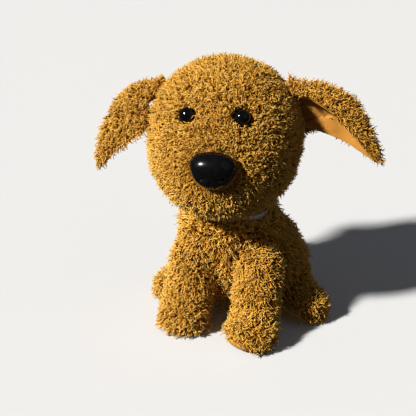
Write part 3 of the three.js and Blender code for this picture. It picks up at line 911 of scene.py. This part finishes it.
def makeEar(side):
    form = earSheet(side)
    area = sum(f.calc_area() for f in form.faces)
    tip = np.array(min((v.co for v in form.verts), key=lambda p: p.z))
    middle = np.mean([v.co for v in form.verts], axis=0)
    lining = form.copy()
    rim = [v.co.copy() for v in form.verts if v.is_boundary]
    rimTree = KDTree(len(rim))
    for i, place in enumerate(rim):
        rimTree.insert(place, i)
    rimTree.balance()

    def earComb(points):
        # fans out from the middle of the ear, runs down to its tip, and hangs over its front edge
        far = np.array([rimTree.find(Vector(p))[2] for p in points]) / ear["fringeWidth"]
        front = np.clip((middle[1] - points[:, 1]) / ear["frontEdge"] + 0.5, 0, 1)
        fringe = 1 + ear["fringe"] * ease(1 - far) * front
        return (points - middle) / ear["fan"] * fringe[:, None] + unit(tip - points) * ear["toTip"]

    offset(form, ground["thickness"])
    fur = {**earFur, "seed": earFur["seed"] + len(side)}
    growPart("ear_" + side, ["ear_back_" + side], form, earComb, fur, ["head"])
    form.free()
    offset(lining, -ear["liningGap"])
    lining.normal_update()
    fine = ear["creaseSize"] / ear["finer"]
    for vert, normal in [(v, v.normal.copy()) for v in lining.verts]:
        wave = noise.noise(vert.co / ear["creaseSize"]) + ear["finerShare"] * noise.noise(vert.co / fine)
        vert.co += normal * ear["crease"] * (wave - ear["creaseShift"])
    thicken(lining, ear["liningThickness"])
    piece = toObject("ear_lining_" + side + "_velour", lining, nap)
    finishPiece(piece, "ear_" + side, "short_pile", "ear_lining_" + side)
    for part in (bpy.data.objects["ear_back_" + side + "_plush"], piece):
        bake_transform(part)


for side in sides:
    makeEar(side)
print("ears ready")

bodyFur = {"length": 0.0096, "spacing": 0.00100, "lean": 0.45, "tuftSize": 0.006, "tuft": 0.55,
           "loose": 0.22, "combed": 0.8, "curls": curlMix["combed"], "seed": 37, "fill": 0.8}
legFur = {"length": 0.0090, "spacing": 0.00096, "lean": 0.4, "tuftSize": 0.0055, "tuft": 0.55,
          "loose": 0.22, "combed": 0.7, "curls": curlMix["curly"], "seed": 41, "fill": 0.8}
tailFur = {**legFur, "length": 0.0075, "seed": 83}
# an upright crease down the chest, between two heights and in front of a plane
chestCrease = {"x": 0.010, "width": 0.006, "depth": 0.006, "low": 0.055, "high": 0.095, "edge": 0.01,
               "front": -0.02}
# the pile stands up round the neck and hides its seam, but for a parting over the ribbon's front
collar = {"from": 0.083, "rise": 0.009, "longer": 0.75, "parting": (-0.013, -0.048),
          "partingSize": 0.009, "parted": 0.7, "outward": 0.3, "upward": 1.4}
# under the seat the fabric lies bare, and the pile is pressed flat
seat = {"bareTo": 0.004, "flatTo": 0.006, "facing": -0.6, "length": 0.3}
neckMiddle = middleOf("neck_filling")


def bareSeat(points):
    return (points[:, 2] < seat["bareTo"]) * 1.0


def makeTorso():
    form = groundOf("torso", limbs + ["tail"], bareSeat)
    for vert in form.verts:
        across = (vert.co.x - chestCrease["x"]) / chestCrease["width"]
        rising = ease((vert.co.z - chestCrease["low"]) / chestCrease["edge"])
        along = rising * ease((chestCrease["high"] - vert.co.z) / chestCrease["edge"])
        if vert.co.y < chestCrease["front"]:
            vert.co.y += chestCrease["depth"] * math.exp(-across ** 2) * float(along)

    def torsoComb(points):
        # down the body, and away from the chest's crease
        flow = np.tile(np.array([0.0, 0.0, -1.0]), (len(points), 1))
        across = (points[:, 0] - chestCrease["x"]) / (chestCrease["width"] * 2)
        flow[:, 0] += np.sign(across) * np.exp(-across ** 2) * (points[:, 1] < chestCrease["front"])
        atNeck = ease((points[:, 2:3] - collar["from"]) / collar["rise"])
        outward = unit((points - np.array(neckMiddle)) * np.array([1, 1, 0]))
        standing = outward * collar["outward"] + np.array([0, 0, collar["upward"]])
        return flow * (1 - atNeck) + standing * atNeck

    def torsoTrim(points, normals):
        atNeck = ease((points[:, 2] - collar["from"]) / collar["rise"])
        parted = np.linalg.norm(points[:, :2] - np.array(collar["parting"]), axis=1) / collar["partingSize"]
        length = 1 + atNeck * (collar["longer"] - collar["parted"] * np.exp(-parted ** 2))
        under = (points[:, 2] < seat["flatTo"]) & (normals[:, 2] < seat["facing"])
        return np.where(under, seat["length"], length)

    growPart("torso", torsoPanels, form, torsoComb, bodyFur, limbs + ["tail"], torsoTrim)
    cover = BVHTree.FromBMesh(form)
    shrink(form, ground["thickness"] + stuffing["torsoUnder"], steps=3, smoothing=4)
    tuckIn(form, skinTrees["torso"], ground["pile"] + ground["thickness"] + stuffing["torsoCover"])
    tuckIn(form, cover, ground["thickness"] + stuffing["torsoCover"])
    splitFilling(form)
    form.free()


# what the torso holds, with a sliver of room between: loose fibre above, a bag of pellets below
contents = {"fibrefill": ("body_fibrefill", "body_filling", fibrefill, 0.0002, 0.85),
            "pellet_bag": ("pellet_bag_cotton", "pellet_bag", bagCloth, -0.0002, 0.7)}


def splitFilling(form):
    low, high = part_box("pellet_bag")
    for slot, (name, node, material, gap, fill) in contents.items():
        half = form.copy()
        cut = bmesh.ops.bisect_plane(half, geom=half.verts[:] + half.edges[:] + half.faces[:],
                                     plane_co=(0, 0, high.z + gap), plane_no=(0, 0, 1),
                                     clear_outer=gap < 0, clear_inner=gap > 0)
        rim = [e for e in cut["geom_cut"] if isinstance(e, bmesh.types.BMEdge)]
        bmesh.ops.triangle_fill(half, edges=rim, use_beauty=True)
        bmesh.ops.recalc_face_normals(half, faces=half.faces)
        piece = finishPiece(toObject(name, half, material), "torso", slot, node)


# how far the smooth sole turns up in front, on each limb, and the way it turns up
sole = {
    "edge": 0.0035, "towards": (-0.75, -0.66), "turnSlope": 1.3, "turnShift": 0.1,
    "turnUp": {"front_leg_left": 0.008, "front_leg_right": 0.001,
               "hind_leg_left": 0.008, "hind_leg_right": 0.001},
    "bareEdge": 0.003, "lap": 0.0012, "proud": 0.0013, "thickness": 0.0011, "aboveFloor": 0.0003,
    "uneven": 0.03,      # how far its outline is from round
}
# the pile of a limb runs down and a little forward, then out over the paw
limbLie = {"down": (0, -0.35, -1.0), "footHeight": 0.02, "footReach": 0.02, "footRise": 0.3,
           "pawTop": 0.045, "pawEdge": 0.03, "offDown": 0.8, "outward": 0.6}


def makeLimb(limb, seed):
    low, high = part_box(limb + "_sole")
    foot = np.array([(low.x + high.x) / 2, (low.y + high.y) / 2, limbLie["footHeight"]])
    radius = (high.x - low.x) / 2

    def soleTop(points):
        turned = ((points - foot)[:, :2] / radius) @ np.array(sole["towards"])
        return sole["edge"] + sole["turnUp"][limb] * ease(turned * sole["turnSlope"] - sole["turnShift"])

    def bareSole(points):
        return ease((soleTop(points) + sole["bareEdge"] - points[:, 2]) / sole["bareEdge"])

    def limbComb(points):
        out = (points - foot) * np.array([1, 1, limbLie["footRise"]]) / limbLie["footReach"]
        onPaw = np.clip((limbLie["pawTop"] - points[:, 2:3]) / limbLie["pawEdge"], 0, 1)
        down = np.array(limbLie["down"]) * (1 - onPaw * limbLie["offDown"])
        return down + out * onPaw * limbLie["outward"]

    def limbTrim(points, normals):
        return (points[:, 2] > soleTop(points)) * 1.0

    form = groundOf(limb, ["torso"], bareSole)
    growPart(limb, bodyNodes[limb][:2], form, limbComb, {**legFur, "seed": seed}, ["torso"], limbTrim)
    makeSole(limb, form.copy(), soleTop)
    makeFilling(limb + "_fibrefill", limb, form, limb + "_filling")


def makeSole(limb, form, soleTop):
    tops = soleTop(np.array([f.calc_center_median() for f in form.faces]))
    gone = [f for f, top in zip(form.faces, tops) if f.calc_center_median().z > top + sole["lap"]]
    bmesh.ops.delete(form, geom=gone, context="FACES")
    keepLargest(form)
    offset(form, sole["proud"])
    area = sum(f.calc_area() for f in form.faces)
    thicken(form, sole["thickness"])
    for vert in form.verts:
        vert.co.z = max(vert.co.z, sole["aboveFloor"])
    piece = toObject(limb + "_sole_velour", form, nap)
    finishPiece(piece, limb, "short_pile", limb + "_sole")


def makeTail():
    def tailComb(points):
        return np.tile(np.array([0.0, 1.0, 0.2]), (len(points), 1))

    form = groundOf("tail", ["torso"], pile=ground["tailPile"])
    growPart("tail", tailPanels, form, tailComb, tailFur, ["torso"])
    makeFilling("tail_fibrefill", "tail", form, "tail_filling")


makeTorso()
for number, limb in enumerate(limbs):
    makeLimb(limb, 51 + number)
makeTail()
print("body, legs and tail ready")

ribbon = {
    "width": 0.0042, "thickness": 0.0006, "steps": 96, "inward": 0.0035, "down": 0.0010,
    # in front it comes forward and up out of the pile
    "frontAngle": 4.54, "frontSpread": 0.35, "frontLift": 0.0022,
    # waves in its height and in its lean
    "wave": 0.0012, "waves": 1.6, "waveAt": 3.0, "lean": 0.03, "leans": 2.2, "leanAt": 7.0,
}


def makeRibbon():
    # a flat satin band that lies in the oval of its packed ring, a little uneven where the fur lifts it
    low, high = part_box("neck_ribbon")
    middle = (low + high) / 2
    form = bmesh.new()
    loops = []
    for i in range(ribbon["steps"]):
        a = i / ribbon["steps"] * 2 * math.pi
        front = math.exp(-((a - ribbon["frontAngle"]) / ribbon["frontSpread"]) ** 2)
        inward = ribbon["inward"] * (1 - front)
        x, y = math.cos(a), math.sin(a)
        out = Vector((x * (middle.x - low.x - inward), y * (middle.y - low.y - inward), 0))
        wave = noise.noise(Vector((x * ribbon["waves"], y * ribbon["waves"], ribbon["waveAt"])))
        lift = ribbon["wave"] * wave - ribbon["down"] + ribbon["frontLift"] * front
        slope = noise.noise(Vector((x * ribbon["leans"], y * ribbon["leans"], ribbon["leanAt"])))
        ends = []
        for height in (-1, 1):
            lean = 1 + ribbon["lean"] * height * slope
            place = middle + out * lean + Vector((0, 0, lift + height * ribbon["width"] / 2))
            ends.append(form.verts.new(place))
        loops.append(ends)
    for here, there in zip(loops, loops[1:] + loops[:1]):
        form.faces.new((here[0], there[0], there[1], here[1]))
    bmesh.ops.recalc_face_normals(form, faces=form.faces)
    thicken(form, ribbon["thickness"])
    finishPiece(toObject("neck_ribbon_satin", form, satin), "torso", "ribbon", "neck_ribbon")


neck = {"voxel": 0.0025, "under": 0.0045, "fill": 0.9}


def makeNeck():
    form = outerSkin(["neck_filling"], neck["voxel"])
    shrink(form, neck["under"], steps=2, smoothing=2)
    roughen(form)
    obj = toObject("neck_fibrefill", form, fibrefill)
    piece = finishPiece(obj, "neck", "fibrefill", "neck_filling")


makeRibbon()
makeNeck()
print("ribbon and neck ready")

for name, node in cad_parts.items():
    if not node.hide_render:
        node.data.materials.clear()
        node.data.materials.append(washerPlastic)
        print("kept node:", name)
